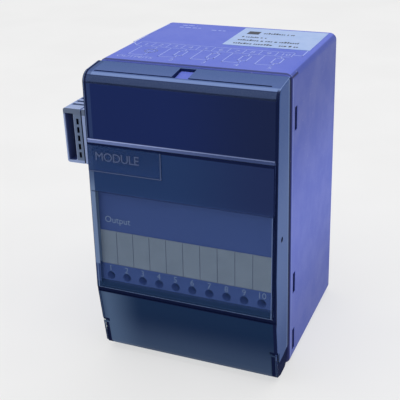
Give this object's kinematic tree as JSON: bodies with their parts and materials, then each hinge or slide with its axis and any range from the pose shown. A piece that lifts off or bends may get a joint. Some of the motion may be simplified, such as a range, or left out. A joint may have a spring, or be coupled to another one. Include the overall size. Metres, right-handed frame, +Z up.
{
  "type": "plc module",
  "caption": "Rail-mounted controller module with a matte box, a smoked hinged cover over screw terminals, a side bus plug and a sprung rail latch.",
  "frame": {"origin": "centre of the flat back face, which is the seat on the rail", "axes": "+Z up, +Y out of the back face towards the rail, +X to the right seen from the front"},
  "size_m": [0.0677, 0.0619, 0.0861],
  "materials": {
    "violet_plastic": "fine matte moulding texture",
    "smoked_plastic": "smooth, smoke-blue and see-through",
    "dark_plastic": "dark blue-grey moulding",
    "black_plastic": "moulded black",
    "terminal_plastic": "dark terminal moulding",
    "grey_plastic": "grey-blue moulding",
    "label_film": "printed marking strip",
    "silver_label": "silver-white label film",
    "name_film": "tinted film",
    "board_laminate": "green solder mask",
    "zinc_steel": "zinc plated",
    "spring_steel": "bright drawn wire",
    "gold_contact": "gold flashed",
    "tin_contact": "tinned",
    "can_aluminium": "satin can",
    "ferrite": "grey ferrite",
    "ceramic": "chip ceramic"
  },
  "bodies": {
    "module": {"housing_shell": "violet_plastic", "rear_base": "violet_plastic", "rail_latch_spring": "spring_steel", "base_screws": "zinc_steel", "main_board": "board_laminate", "output_board": "board_laminate", "board_screws": "zinc_steel", "stack_connector": "black_plastic", "stack_pins": "gold_contact", "microcontroller": "black_plastic", "output_drivers": "black_plastic", "isolators": "black_plastic", "dc_converter": "black_plastic", "electrolytic_capacitors": "can_aluminium", "power_choke": "ferrite", "voltage_regulator": "black_plastic", "small_components": "ceramic", "terminal_block": "terminal_plastic", "terminal_screws": "zinc_steel", "terminal_clamps": "zinc_steel", "terminal_pins": "tin_contact", "terminal_carrier": "violet_plastic", "bay_blank_plate": "dark_plastic", "label_strip": "label_film", "rating_label": "silver_label", "bus_header": "black_plastic", "bus_header_pins": "gold_contact"},
    "cover": {"front_cover": "smoked_plastic", "name_plate": "name_film"},
    "latch": {"cover_latch": "violet_plastic"},
    "rail_grip": {"rail_latch": "dark_plastic"},
    "bus_plug": {"bus_plug_shell": "grey_plastic", "bus_plug_insulator": "black_plastic", "bus_plug_contacts": "gold_contact"}
  },
  "joints": [
    {"name": "cover_hinge", "type": "hinge", "parent": "module", "child": "cover", "pos_m": [0, -0.048, -0.0396], "axis": [1, 0, 0], "range_deg": [0, 100]},
    {"name": "latch_press", "type": "hinge", "parent": "module", "child": "latch", "pos_m": [0, -0.0436, 0.03975], "axis": [1, 0, 0], "range_deg": [0, 12], "stiffness_Nm_per_rad": 0.15},
    {"name": "rail_latch_slide", "type": "slide", "parent": "module", "child": "rail_grip", "axis": [0, 0, -1], "range_m": [0, 0.004], "stiffness_N_per_m": 800, "deforming": ["rail_latch_spring"]},
    {"name": "bus_plug_slide", "type": "slide", "parent": "module", "child": "bus_plug", "axis": [-1, 0, 0], "range_m": [0, 0.008]}
  ]
}
